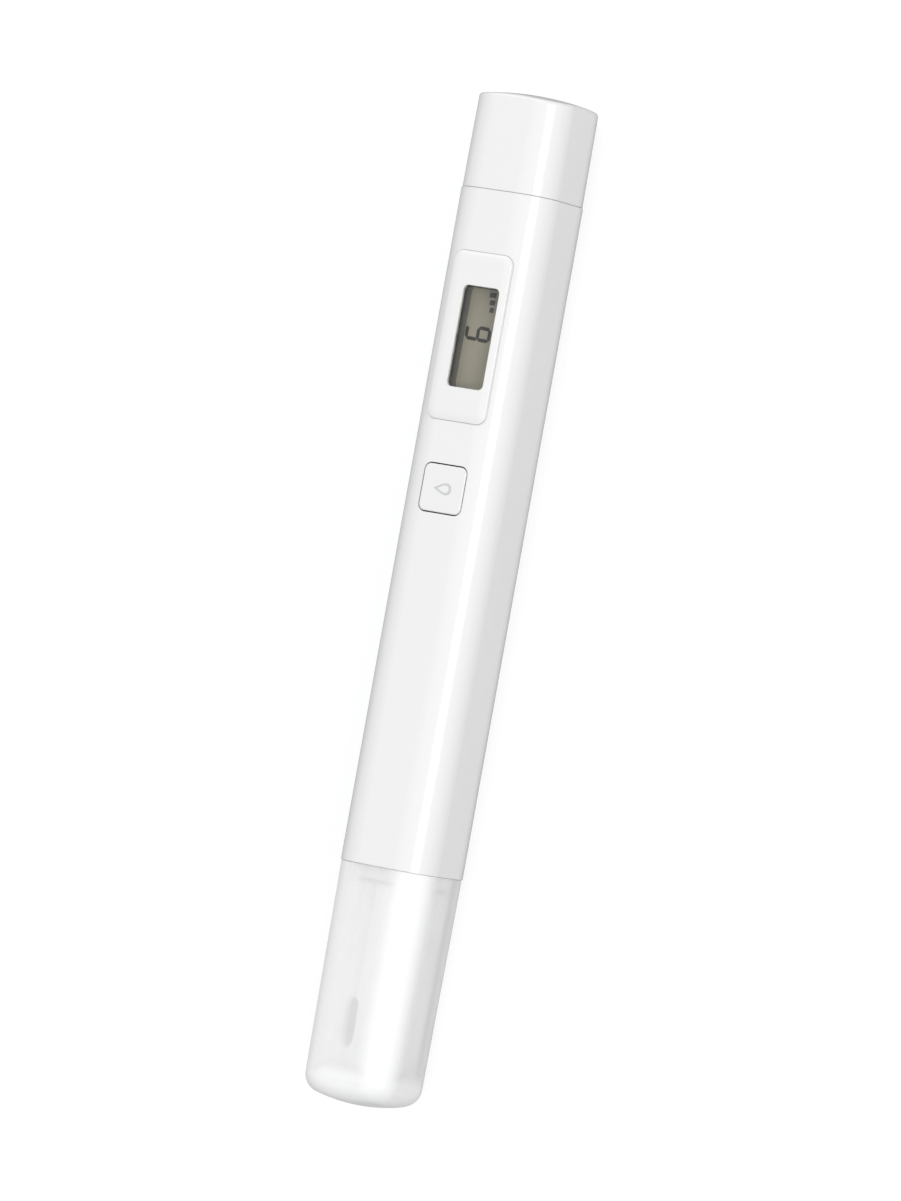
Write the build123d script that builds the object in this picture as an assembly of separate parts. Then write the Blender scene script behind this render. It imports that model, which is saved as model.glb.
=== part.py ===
from build123d import *
from math import radians, tan
import os

# A pen-shaped digital water tester, built as the separate pieces that it comes apart into.
# It lies on its flat back with the display facing up: +X runs along the pen from the probe end to the
# battery end, +Y to its left and +Z out of the display. The origin is below the middle of the pen, on
# the surface that it lies on. All sizes are in millimetres.

# Overall
pen_length = 151.9
body_side = 16.1  # across the flats of the rounded square section
body_corner = 5.0
body_wall = 1.4
probe_cap_length = 35.47
battery_cap_length = 15.14
seam_gap = 0.06
seam_chamfer = 0.08

# Clearances
cap_clearance = 0.12  # each side, between a cap and what it slides over
plug_clearance = 0.08  # each side, between a plug and the body's mouth
part_clearance = 0.1  # each side, between a piece and the hole that it drops into
ring_clearance = 0.02  # a soft ring is drawn as squeezed, just clear of its walls

# Caps
cap_step = 0.12  # how far a cap's mouth stands inside the body's outline, each side
battery_cap_wall = 1.2
battery_cap_end_wall = 2.15
battery_cap_draft = 0.09  # how much narrower its closed end is, each side
battery_cap_crown = 42.0  # radius of its slightly domed end
battery_cap_edge = 0.6
probe_cap_wall = 1.15
probe_cap_end_wall = 3.0
probe_cap_draft = 0.31
probe_cap_crown = 24.0
probe_cap_edge = 2.9
probe_cap_floor_edge = 1.5  # rounding at the bottom of its inside

# Display, measured from its centre
display_setback = 22.05  # from the battery cap's seam to the display's centre
bezel_length = 25.3
bezel_width = 9.9
bezel_corner = 1.5
bezel_seat = 0.75  # depth of its pocket in the body
bezel_rise = 0.4
bezel_gap = 0.04  # each side, between the bezel and its pocket
bezel_slope_width = 0.9  # the face falls away gently towards its edges
bezel_slope_drop = 0.27
bezel_slope_blend = 3.0
bezel_edge = 0.22
peg_radius = 0.45
peg_inset = 1.3
window_length = 15.2
window_width = 6.2
window_corner = 0.8
window_shift = -0.75  # the opening sits a little to the right of the pen's middle
window_recess = 0.12
lens_chamfer = 0.08
window_ledge = 0.15  # what the lens rests on, all round
window_seat = 0.05  # from the pocket's floor up to that ledge
collar_wall = 0.5
collar_height = 0.75  # from the pocket's floor, so that a thin lip of the bezel covers the collar
lcd_depth = 2.8  # from the bezel's face to the liquid crystal panel
polariser_thickness = 0.2
glass_thickness = 0.7
lcd_length = 20.2
lcd_width = 8.2
rear_glass_width = 6.2
polariser_inset = 0.4
zebra_width = 0.8
lcd_frame_wall = 0.6
lcd_frame_top = 0.5  # how far its flange stays below the body's inner face
lcd_tab_length = 2.0
lcd_tab_reach = 14.0

# Button, measured from its centre
button_pitch = 22.75  # from the display's centre to the button's centre
button_size = 7.05
button_corner = 1.0
button_gap = 0.2
button_rise = 0.12
button_edge = 0.2
button_travel = 0.3
button_flange_length = 8.8
button_flange_width = 8.2
button_flange = 0.5
button_wall = 1.0
button_flange_drop = 0.4  # from the body's inner face to the flange
gasket_thickness = 0.22
button_post_radius = 1.1

# Circuit board and what is on it
board_thickness = 1.0
board_width = 12.4
board_top = 2.85  # above the pen's axis
board_ahead = 14.5  # how far it runs past the display's centre
board_behind = 9.8  # how far it runs past the button's centre
board_screw_inset = 2.0
switch_side = 4.5
switch_height = 1.6
switch_cover = 0.2
plunger_radius = 1.0
chip_side = 5.0
chip_height = 1.1
crystal_length = 6.0
crystal_radius = 1.0

# Screws
board_screw_radius = 0.6
board_screw_length = 4.6
frame_screw_radius = 0.6
frame_screw_length = 7.5
screw_head_radius = 1.2
screw_head_height = 0.8
screw_clearance = 0.05
cross_width = 0.35
cross_depth = 0.4

# Carrier
carrier_wall = 1.0
carrier_rib_height = 1.6
carrier_rib = 1.0
carrier_rib_count = 6
boss_radius = 1.6
end_gap = 0.2

# Battery frame and cells
cell_radius = 5.8
cell_height = 5.4
cell_wall = 0.25
cell_crimp = 0.7
cell_gasket = 0.2
cell_lid_rise = 0.3
cell_edge = 0.35
cell_clearance = 0.1
cell_lip = 1.5  # how far the cradle's walls reach past the cells' middle
frame_plug_length = 4.4
frame_neck_length = 2.4
frame_end_plate = 0.9
frame_recess = 0.9  # how far the cells' floor lies below the seam
contact_thickness = 0.25
contact_spring = 1.0  # height of the sprung tongue under the cells
contact_side = 6.0
tab_length = 1.2
tab_foot = 1.1
strip_width = 1.8
strip_inset = 0.3
push_hole_radius = 2.6
post_reach = 3.8  # size of the screw posts in the body's upper corners
post_length = 4.4

# Probe
plug_length = 6.1
ring_width = 1.4
ring_depth = 0.9
neck_length = 2.0
shroud_step = 0.2  # how far the shroud stands inside the neck, each side
shroud_draft = 0.2
shroud_end_gap = 2.75  # between the shroud and the cap's floor
shroud_wall = 1.15
potting_wall = 1.3
potting_floor = 5.0  # between the pocket behind the pins and the shroud's cavity
potting_corner = 2.2
potting_short = 3.0  # how far the resin stays below the pocket's rim
shroud_cavity = 15.0
shroud_cavity_corner = 2.6
slot_length = 7.3
slot_width = 2.0
slot_from_end = 2.8
slot_shift = 0.55  # to the left of the pen's middle
drain_groove = 0.3
drain_groove_width = 1.2
drain_groove_shift = 0.65  # to the left of the pen's middle
bump_length = 6.3
bump_width = 0.8
bump_rise = 0.08
pin_radius = 0.8
pin_spacing = 5.2
pin_inset = 1.9  # from the shroud's end to a pin's tip
pin_tail = 3.0
pin_clearance = 0.03
gland_radius = 1.5
gland_length = 1.2
sensor_radius = 1.0
sensor_inset = 5.5
sensor_tail = 1.5

# Leads inside the body
lead_radius = 0.4
lead_sag = 1.2
lead_straight = 5.0

# Places that follow from the sizes above
axis_z = body_side / 2
battery_end = pen_length / 2
probe_end = -pen_length / 2
battery_seam = battery_end - battery_cap_length
probe_seam = probe_end + probe_cap_length
face_z = body_side
cavity_side = body_side - 2 * body_wall
cavity_corner = body_corner - body_wall
ceiling_z = body_side - body_wall
display_x = battery_seam - display_setback
button_x = display_x - button_pitch
bezel_z = face_z + bezel_rise
pocket_z = face_z - bezel_seat
board_z = axis_z + board_top
board_low = button_x - board_behind
board_high = display_x + board_ahead
cap_mouth_side = body_side - 2 * cap_step
cap_mouth_corner = body_corner - cap_step
plug_side = cavity_side - 2 * plug_clearance
plug_corner = cavity_corner - plug_clearance
frame_base = battery_seam - frame_plug_length
plug_inner_end = probe_seam + plug_length
shroud_end = probe_end + probe_cap_end_wall + shroud_end_gap


def bar(low, high, side, corner):
    """A rounded square bar along the pen, centred on its axis."""
    section = Plane((low, 0, axis_z), x_dir=(0, 1, 0), z_dir=(1, 0, 0)) * RectangleRounded(side, side, corner)
    return extrude(section, high - low)


def tapered_bar(mouth, end, mouth_side, mouth_corner, draft):
    """A rounded square bar that is narrower at its end than at its mouth, by draft on each side."""
    sections = []
    for place, shrink in ((mouth, 0), (end, draft)):
        plane = Plane((place, 0, axis_z), x_dir=(0, 1, 0), z_dir=(1, 0, 0))
        side = mouth_side - 2 * shrink
        sections.append(plane * RectangleRounded(side, side, mouth_corner - shrink))
    return loft(sections, ruled=True)


def rod(low, high, radius, y=0.0, z=None):
    """A round rod along the pen."""
    height = axis_z if z is None else z
    return Pos((low + high) / 2, y, height) * Rot(0, 90, 0) * Cylinder(radius, high - low)


def post(x, y, low, high, radius):
    """A round post that stands upright."""
    return Pos(x, y, (low + high) / 2) * Cylinder(radius, high - low)


def block(x_range, y_range, z_range):
    """A plain block between two limits on each axis."""
    sizes = [high - low for low, high in (x_range, y_range, z_range)]
    middle = [(high + low) / 2 for low, high in (x_range, y_range, z_range)]
    return Pos(*middle) * Box(*sizes)


def pad(x, y, length, width, corner, low, high):
    """A flat rounded rectangle, lying face up."""
    return extrude(Plane((x, y, low)) * RectangleRounded(length, width, corner), high - low)


def top_edges(solid):
    """The outline of a solid's highest flat face."""
    return solid.faces().sort_by(Axis.Z)[-1].edges()


def snap_bumps(x, side, turns):
    """Low bumps round a neck, which a cap's inside presses on."""
    x_range = (x - bump_width / 2, x + bump_width / 2)
    bump = block(x_range, (-bump_length / 2, bump_length / 2), (side / 2 - 2 * shroud_step, side / 2 + bump_rise))
    return [Pos(0, 0, axis_z) * Rot(turn, 0, 0) * bump for turn in turns]


def cross_recess(depth_dir_plane):
    """A cross-shaped driver recess, cut into a screw's head."""
    reach = 1.24 * screw_head_radius
    arms = Rectangle(reach, cross_width) + Rectangle(cross_width, reach)
    return extrude(depth_dir_plane * arms, -cross_depth)


# Body


def body_shell():
    outer = bar(probe_seam + seam_gap / 2, battery_seam - seam_gap / 2, body_side, body_corner)
    for face in (outer.faces().sort_by(Axis.X)[0], outer.faces().sort_by(Axis.X)[-1]):
        outer = chamfer(face.edges(), seam_chamfer)
    shell = outer - bar(probe_seam - 1, battery_seam + 1, cavity_side, cavity_corner)
    for side in (-1, 1):
        shell += screw_post(side)
        y, z = frame_screw_place(side)
        shell -= rod(frame_base - post_length - 1, frame_base + 1, frame_screw_radius + screw_clearance, y, z)
    pocket = bezel_outline(bezel_length + 2 * bezel_gap, bezel_width + 2 * bezel_gap, pocket_z, bezel_z + 1)
    shell -= pocket
    length, width = collar_size()
    shell -= pad(
        display_x, window_shift, length + 2 * part_clearance, width + 2 * part_clearance,
        window_corner + collar_wall, axis_z, bezel_z,
    )
    hole = button_size + 2 * button_gap
    shell -= pad(button_x, 0, hole, hole, button_corner + button_gap, axis_z, bezel_z)
    for x, y in peg_places():
        shell -= post(x, y, axis_z, bezel_z, peg_radius + part_clearance / 2)
    return shell


def screw_post(side):
    """A post in one upper corner of the body, which takes a screw of the battery frame."""
    inner = cavity_side / 2 - post_reach
    y_range = sorted((side * inner, side * cavity_side))
    corner = block((frame_base - post_length, frame_base), y_range, (axis_z + inner, axis_z + cavity_side))
    wall_overlap = body_wall / 2
    return corner & bar(
        frame_base - post_length, frame_base, cavity_side + 2 * wall_overlap, cavity_corner + wall_overlap
    )


def frame_screw_place(side):
    middle = cavity_side / 2 - post_reach / 2 - 0.55
    return side * middle, axis_z + middle


# Display


def bezel_outline(length, width, low, high):
    return pad(display_x, 0, length, width, bezel_corner, low, high)


def peg_places():
    """Middles of the four pegs that hold the bezel to the body."""
    x_reach = bezel_length / 2 - peg_inset
    y_reach = bezel_width / 2 - peg_inset
    return [(display_x + a * x_reach, b * y_reach) for a in (-1, 1) for b in (-1, 1)]


def collar_size():
    """The raised part of the panel's frame, which lines the opening and holds the lens."""
    return window_length + 2 * collar_wall, window_width + 2 * collar_wall


def display_bezel():
    plate = bezel_outline(bezel_length, bezel_width, pocket_z, bezel_z)
    face = plate.faces().sort_by(Axis.Z)[-1]
    plate = chamfer(face.edges(), bezel_slope_width, bezel_slope_drop, reference=face)
    shoulder = [edge for edge in plate.edges() if abs(edge.center().Z - (bezel_z - bezel_slope_drop)) < 0.01]
    plate = fillet(shoulder, bezel_edge)
    plate = fillet(top_edges(plate), bezel_slope_blend)
    plate -= pad(display_x, window_shift, window_length, window_width, window_corner, pocket_z, bezel_z)
    length, width = collar_size()
    plate -= pad(
        display_x, window_shift, length + 2 * part_clearance, width + 2 * part_clearance,
        window_corner + collar_wall, pocket_z, pocket_z + collar_height,
    )
    for x, y in peg_places():
        plate += post(x, y, ceiling_z, pocket_z + part_clearance, peg_radius)
    return plate


def display_window():
    """The clear lens, let into the collar."""
    length, width = window_length - part_clearance, window_width - part_clearance
    low, high = pocket_z + window_seat, bezel_z - window_recess
    lens = pad(display_x, window_shift, length, width, window_corner, low, high)
    return chamfer(top_edges(lens), lens_chamfer)


def lcd_levels():
    """Heights of the panel's layers, from the front polariser's face down to the reflector's back."""
    polariser = bezel_z - lcd_depth
    front_glass = polariser - polariser_thickness
    rear_glass = front_glass - glass_thickness
    reflector = rear_glass - glass_thickness
    return polariser, front_glass, rear_glass, reflector, reflector - polariser_thickness


def lcd_frame():
    panel_top = lcd_levels()[0]
    length, width = collar_size()
    collar_top = pocket_z + collar_height
    boss = pad(display_x, window_shift, length, width, window_corner + collar_wall, panel_top, collar_top)
    outer_length = lcd_length + 2 * (lcd_frame_wall + part_clearance)
    outer_width = lcd_width + 2 * (lcd_frame_wall + part_clearance)
    flange_top = ceiling_z - lcd_frame_top
    frame = boss + pad(display_x, 0, outer_length, outer_width, lcd_frame_wall, board_z, flange_top)
    frame -= pad(
        display_x, 0, lcd_length + 2 * part_clearance, lcd_width + 2 * part_clearance,
        part_clearance, board_z, panel_top,
    )
    frame -= pad(
        display_x, window_shift, window_length - 2 * window_ledge, window_width - 2 * window_ledge,
        window_corner - window_ledge, panel_top - 1, pocket_z + window_seat,
    )
    frame -= pad(
        display_x, window_shift, window_length, window_width, window_corner,
        pocket_z + window_seat, collar_top,
    )
    for x, y in lcd_tab_places():
        frame += block(
            (x - lcd_tab_length / 2, x + lcd_tab_length / 2),
            (y - lcd_frame_wall / 2, y + lcd_frame_wall / 2),
            (board_z - board_thickness, board_z + part_clearance),
        )
    return frame


def lcd_tab_places():
    """Middles of the four tabs that locate the panel's frame in slots in the board."""
    y = lcd_width / 2 + part_clearance + lcd_frame_wall / 2
    return [(display_x + a * lcd_tab_reach / 2, b * y) for a in (-1, 1) for b in (-1, 1)]


def lcd_front_polariser():
    top, bottom = lcd_levels()[0:2]
    length = lcd_length - 2 * polariser_inset
    width = lcd_width - 2 * polariser_inset
    return pad(display_x, 0, length, width, part_clearance, bottom, top)


def lcd_front_glass():
    top, bottom = lcd_levels()[1:3]
    return pad(display_x, 0, lcd_length, lcd_width, part_clearance, bottom, top)


def lcd_rear_glass():
    top, bottom = lcd_levels()[2:4]
    return pad(display_x, 0, lcd_length, rear_glass_width, part_clearance, bottom, top)


def lcd_reflector():
    top, bottom = lcd_levels()[3:5]
    length = lcd_length - 2 * polariser_inset
    return pad(display_x, 0, length, rear_glass_width - part_clearance, part_clearance, bottom, top)


def zebra_strips():
    """The two rubber connectors that join the panel's edges to the board."""
    top = lcd_levels()[2]
    reach = lcd_length / 2 - polariser_inset
    inner = rear_glass_width / 2 + part_clearance
    x_range = (display_x - reach, display_x + reach)
    outer = inner + zebra_width
    return [block(x_range, sorted((side * inner, side * outer)), (board_z, top)) for side in (-1, 1)]


# Button


def button_flange_top():
    return ceiling_z - button_flange_drop


def button_key():
    top = face_z + button_rise
    flange_top = button_flange_top()
    flange_low = flange_top - button_flange
    key = pad(button_x, 0, button_size, button_size, button_corner, flange_low, top)
    key = fillet(top_edges(key), button_edge)
    key += pad(button_x, 0, button_flange_length, button_flange_width, button_corner, flange_low, flange_top)
    hollow = button_size - 2 * button_wall
    key -= pad(button_x, 0, hollow, hollow, button_corner / 2, flange_low, top - button_wall)
    key += post(button_x, 0, plunger_top(), top - button_wall, button_post_radius)
    return key


def button_gasket():
    """A thin rubber ring that keeps splashes out of the gap round the key."""
    low = button_flange_top()
    ring = pad(button_x, 0, button_flange_length, button_flange_width, button_corner, low, low + gasket_thickness)
    hole = button_size + 2 * part_clearance
    return ring - pad(button_x, 0, hole, hole, button_corner, low, low + gasket_thickness)


def plunger_top():
    return board_z + switch_height + switch_cover + 0.65


def switch_body():
    body = pad(button_x, 0, switch_side, switch_side, 0.4, board_z, board_z + switch_height)
    well = plunger_radius + part_clearance
    return body - post(button_x, 0, board_z + switch_height / 2, board_z + switch_height, well)


def switch_cover_plate():
    low = board_z + switch_height
    plate = pad(button_x, 0, switch_side - 0.2, switch_side - 0.2, 0.4, low, low + switch_cover)
    return plate - post(button_x, 0, low, low + switch_cover, plunger_radius + part_clearance)


def switch_plunger():
    low = board_z + switch_height / 2 + button_travel + part_clearance / 2
    plunger = post(button_x, 0, low, plunger_top(), plunger_radius)
    return chamfer(top_edges(plunger), 0.15)


def switch_terminals():
    """The switch's four legs, soldered to the board."""
    legs = []
    for a in (-1, 1):
        for b in (-1, 1):
            x = button_x + a * switch_side * 0.33
            y_inner, y_outer = b * switch_side / 2, b * (switch_side / 2 + 1.0)
            foot = block((x - 0.35, x + 0.35), sorted((y_inner, y_outer)), (board_z, board_z + 0.15))
            riser = block((x - 0.35, x + 0.35), sorted((y_inner, y_inner + b * 0.15)), (board_z, board_z + 0.8))
            legs.append(foot + riser)
    return legs


# Circuit board


def board_screw_places():
    return [board_low + board_screw_inset, board_high - board_screw_inset]


def circuit_board():
    board = pad(
        (board_low + board_high) / 2, 0, board_high - board_low, board_width, 0.8, board_z - board_thickness, board_z
    )
    for x in board_screw_places():
        board -= post(x, 0, board_z - board_thickness, board_z, board_screw_radius + part_clearance)
    for x, y in lcd_tab_places():
        board -= block(
            (x - lcd_tab_length / 2 - part_clearance, x + lcd_tab_length / 2 + part_clearance),
            (y - lcd_frame_wall / 2 - part_clearance, y + lcd_frame_wall / 2 + part_clearance),
            (board_z - board_thickness, board_z),
        )
    return board


def controller_chip():
    """The controller under its moulded cover, on the board's underside."""
    top = board_z - board_thickness
    x = (display_x + button_x) / 2
    chip = pad(x, 0, chip_side, chip_side, 0.5, top - chip_height, top)
    return fillet(chip.faces().sort_by(Axis.Z)[0].edges(), 0.35)


def clock_crystal():
    top = board_z - board_thickness
    x = display_x - 4
    return rod(x - crystal_length / 2, x + crystal_length / 2, crystal_radius, 3.2, top - crystal_radius)


def chip_parts(places, length, width, height, low):
    return [
        block((x - length / 2, x + length / 2), (y - width / 2, y + width / 2), (low, low + height))
        for x, y in places
    ]


def chip_capacitors():
    x = button_x + switch_side + 2.2
    places = [(x, y) for y in (-4.4, -1.6, 1.6, 4.4)]
    return chip_parts(places, 1.6, 0.8, 0.75, board_z)


def chip_resistors():
    x = button_x + switch_side + 4.6
    places = [(x, y) for y in (-4.6, -2.4, 0, 2.4, 4.6)]
    return chip_parts(places, 1.0, 0.5, 0.35, board_z)


def driven_screw(x, y, z, shank_radius, shank_length):
    """An upright pan-head screw, its head's seat at the given point. Its thread is left plain."""
    head = post(x, y, z, z + screw_head_height, screw_head_radius)
    head = fillet(top_edges(head), screw_head_height / 3)
    shank = post(x, y, z - shank_length, z, shank_radius)
    return head + shank - cross_recess(Plane((x, y, z + screw_head_height)))


def board_screws():
    return [driven_screw(x, 0, board_z, board_screw_radius, board_screw_length) for x in board_screw_places()]


# Carrier


def inner_carrier():
    """The open tray that holds the board, slid into the body from the battery end."""
    low, high = plug_inner_end + end_gap, frame_base - end_gap
    side = cavity_side - 2 * plug_clearance
    rail_top = board_z - board_thickness
    trough = bar(low, high, side, cavity_corner - plug_clearance)
    inner_side = side - 2 * carrier_wall
    inner_corner = cavity_corner - plug_clearance - carrier_wall
    tray = trough - bar(low - 1, high + 1, inner_side, inner_corner)
    above = block((low - 1, high + 1), (-body_side, body_side), (rail_top, 2 * body_side))
    tray -= above
    floor = axis_z - inner_side / 2
    pitch = (high - low - carrier_rib) / (carrier_rib_count - 1)
    for k in range(carrier_rib_count):
        x = low + k * pitch
        rib = block((x, x + carrier_rib), (-body_side, body_side), (0, floor + carrier_rib_height))
        tray += rib & trough
    for x in board_screw_places():
        tray += post(x, 0, floor - carrier_wall / 2, rail_top, boss_radius)
        tray -= post(x, 0, floor, rail_top + 1, board_screw_radius + screw_clearance)
    low_z, _ = strip_heights()
    for hand in (-1, 1):
        x_range = (contact_tab_x() - part_clearance, high + 1)
        tray -= contact_slot(hand, x_range, (low_z - part_clearance, rail_top + 1))
    return tray


# Battery end


def cell_floor():
    """Where the lower cell stands: above the sprung contact."""
    return battery_seam - frame_recess + contact_thickness + contact_spring


def cell_stack_end():
    return cell_floor() + 2 * cell_height


def frame_end():
    return cell_stack_end() + contact_thickness + frame_end_plate


def battery_cap_inner_side():
    return cap_mouth_side - 2 * battery_cap_wall


def cradle_side():
    return battery_cap_inner_side() - 2 * (battery_cap_draft + cap_clearance)


def battery_frame():
    """The cradle for the two cells: a plug in the body's mouth with an open-fronted trough above it."""
    plug = bar(frame_base, battery_seam, plug_side, plug_corner)
    neck_side = battery_cap_inner_side() - 2 * cap_clearance
    neck_corner = cap_mouth_corner - battery_cap_wall - cap_clearance
    neck = bar(battery_seam, battery_seam + frame_neck_length, neck_side, neck_corner)
    side = cradle_side()
    cradle = bar(battery_seam, frame_end(), side, neck_corner - battery_cap_draft)
    frame = plug + neck + cradle
    for bump in snap_bumps(battery_seam + frame_neck_length / 2, neck_side, (0, 180)):
        frame += bump
    floor = battery_seam - frame_recess
    well_radius = cell_radius + cell_clearance
    ceiling = frame_end() - frame_end_plate
    frame -= rod(floor, ceiling, well_radius)
    lip_z = axis_z + cell_lip
    frame -= block((battery_seam + frame_neck_length, ceiling), (-body_side, body_side), (lip_z, 2 * body_side))
    frame -= post((floor + ceiling) / 2, 0, -1, axis_z, push_hole_radius)
    head_room = screw_head_radius + part_clearance
    for hand in (-1, 1):
        y, z = frame_screw_place(hand)
        frame -= rod(frame_base - 1, battery_seam, frame_screw_radius + part_clearance, y, z)
        frame -= rod(floor, ceiling, head_room, y, z)
        plate_high = floor + contact_thickness if hand < 0 else ceiling
        heights = (strip_heights()[0] - part_clearance, strip_heights()[1] + part_clearance)
        frame -= contact_slot(hand, (frame_base - 1, plate_high), heights)
        plate_range = (plate_high - contact_thickness - part_clearance / 2, plate_high)
        frame -= block(plate_range, sorted((0, hand * body_side)), heights)
    return frame


def strip_walls():
    """How far from the pen's middle the contact strips' inner and outer faces stand."""
    outer = cradle_side() / 2 - strip_inset + contact_thickness
    return outer - contact_thickness, outer


def contact_tab_x():
    """Where a strip turns up to the board, clear of the screw posts."""
    return frame_base - post_length - 0.3 - tab_length


def strip_heights():
    """The strips run just above the pen's axis, beside the cells."""
    return axis_z - 0.6, axis_z - 0.6 + strip_width


def contact_slot(hand, x_range, z_range):
    """The groove that a contact's strip lies in, down one side of a piece."""
    inner, _ = strip_walls()
    return block(x_range, sorted((hand * (inner - part_clearance / 2), hand * body_side)), z_range)


def contact(hand, plate_low):
    """A flat contact plate across the cells' end, with a strip down the side to the board."""
    half = contact_side / 2
    plate = block((plate_low, plate_low + contact_thickness), (-half, half), (axis_z - half, axis_z + half))
    inner, outer = strip_walls()
    low, high = strip_heights()
    bridge = block((plate_low, plate_low + contact_thickness), sorted((0, hand * outer)), (low, high))
    sides = sorted((hand * inner, hand * outer))
    strip = block((contact_tab_x(), plate_low + contact_thickness), sides, (low, high))
    tab_range = (contact_tab_x(), contact_tab_x() + tab_length)
    tab = block(tab_range, sides, (low, board_z + contact_thickness))
    foot_range = sorted((hand * (outer - tab_foot), hand * outer))
    foot = block(tab_range, foot_range, (board_z, board_z + contact_thickness))
    return plate + bridge + strip + tab + foot


def positive_contact():
    return contact(1, cell_stack_end())


def negative_contact():
    """The lower contact. Its tongue is bent up to press on the cells."""
    low = battery_seam - frame_recess
    base = contact(-1, low)
    reach = contact_side * 0.32
    top = cell_floor()
    arch = [(low, -reach), (top, 0), (low, reach)]
    outer = Plane((0, 0, axis_z), x_dir=(1, 0, 0), z_dir=(0, -1, 0)) * make_face(Polyline(*arch, arch[0]))
    wedge = extrude(outer, 1.5, both=True)
    inner = [(x - 1.6 * contact_thickness, z) for x, z in arch]
    hollow = Plane((0, 0, axis_z), x_dir=(1, 0, 0), z_dir=(0, -1, 0)) * make_face(Polyline(*inner, inner[0]))
    return base + (wedge - extrude(hollow, 1.6, both=True))


def cell_at(level):
    """Low end of a cell's can, counted from the board end. The can's flat end faces the battery cap."""
    return cell_floor() + level * cell_height


def cell_can(level):
    low = cell_at(level) + cell_lid_rise
    high = cell_at(level) + cell_height
    can = rod(low, high, cell_radius)
    can = fillet(can.faces().sort_by(Axis.X)[-1].edges(), cell_edge)
    can = fillet(can.faces().sort_by(Axis.X)[0].edges(), cell_edge)
    can -= rod(low - 1, high - cell_wall, cell_radius - cell_crimp)
    return can - rod(low + cell_wall, high - cell_wall, cell_radius - cell_wall)


def cell_seal(level):
    low = cell_at(level) + cell_lid_rise
    high = cell_at(level) + cell_height - cell_wall
    ring = rod(low + cell_wall, high, cell_radius - cell_wall) + rod(low, high, cell_radius - cell_crimp)
    return ring - rod(low - 1, high + 1, lid_radius())


def lid_radius():
    return cell_radius - cell_crimp - cell_gasket


def cell_lid(level):
    """The cup whose closed end is the cell's negative side."""
    low = cell_at(level)
    high = cell_at(level) + cell_height - cell_wall
    lid = fillet(rod(low, high, lid_radius()).faces().sort_by(Axis.X)[0].edges(), cell_lid_rise * 0.8)
    return lid - rod(low + cell_wall, high + 1, lid_radius() - cell_wall)


def cell_core(level):
    """What the cell is filled with: zinc, separator and oxide as one block."""
    low = cell_at(level) + cell_wall
    return rod(low, cell_at(level) + cell_height - cell_wall, lid_radius() - cell_wall)


def frame_screws():
    """The two screws that hold the battery frame to the body, driven in from the battery end."""
    seat = battery_seam - frame_recess
    screws = []
    for hand in (-1, 1):
        y, z = frame_screw_place(hand)
        upright = driven_screw(0, 0, 0, frame_screw_radius, frame_screw_length)
        screws.append(Pos(seat, y, z) * Rot(0, 90, 0) * upright)
    return screws


def capped_bar(mouth, end, draft, crown, edge):
    """A cap's outside: a tapered bar whose closed end is crowned and rounded."""
    outward = 1 if end > mouth else -1
    solid = tapered_bar(mouth, end, cap_mouth_side, cap_mouth_corner, draft)
    solid = chamfer(solid.faces().sort_by(Axis.X)[0 if outward > 0 else -1].edges(), seam_chamfer)
    solid &= Pos(end - outward * crown, 0, axis_z) * Sphere(crown)
    return fillet(solid.faces().sort_by(Axis.X)[-1 if outward > 0 else 0].edges(), edge)


def battery_cap():
    mouth = battery_seam + seam_gap / 2
    outside = capped_bar(mouth, battery_end, battery_cap_draft, battery_cap_crown, battery_cap_edge)
    inside = tapered_bar(
        battery_seam, battery_end - battery_cap_end_wall, battery_cap_inner_side(),
        cap_mouth_corner - battery_cap_wall, battery_cap_draft,
    )
    inside = fillet(inside.faces().sort_by(Axis.X)[-1].edges(), battery_cap_edge / 2)
    return outside - inside


# Probe end


def probe_cap_inner_side():
    return cap_mouth_side - 2 * probe_cap_wall


def probe_cap():
    mouth = probe_seam - seam_gap / 2
    outside = capped_bar(mouth, probe_end, probe_cap_draft, probe_cap_crown, probe_cap_edge)
    inside = tapered_bar(
        probe_seam, probe_end + probe_cap_end_wall, probe_cap_inner_side(),
        cap_mouth_corner - probe_cap_wall, probe_cap_draft,
    )
    inside = fillet(inside.faces().sort_by(Axis.X)[0].edges(), probe_cap_floor_edge)
    return outside - inside


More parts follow.
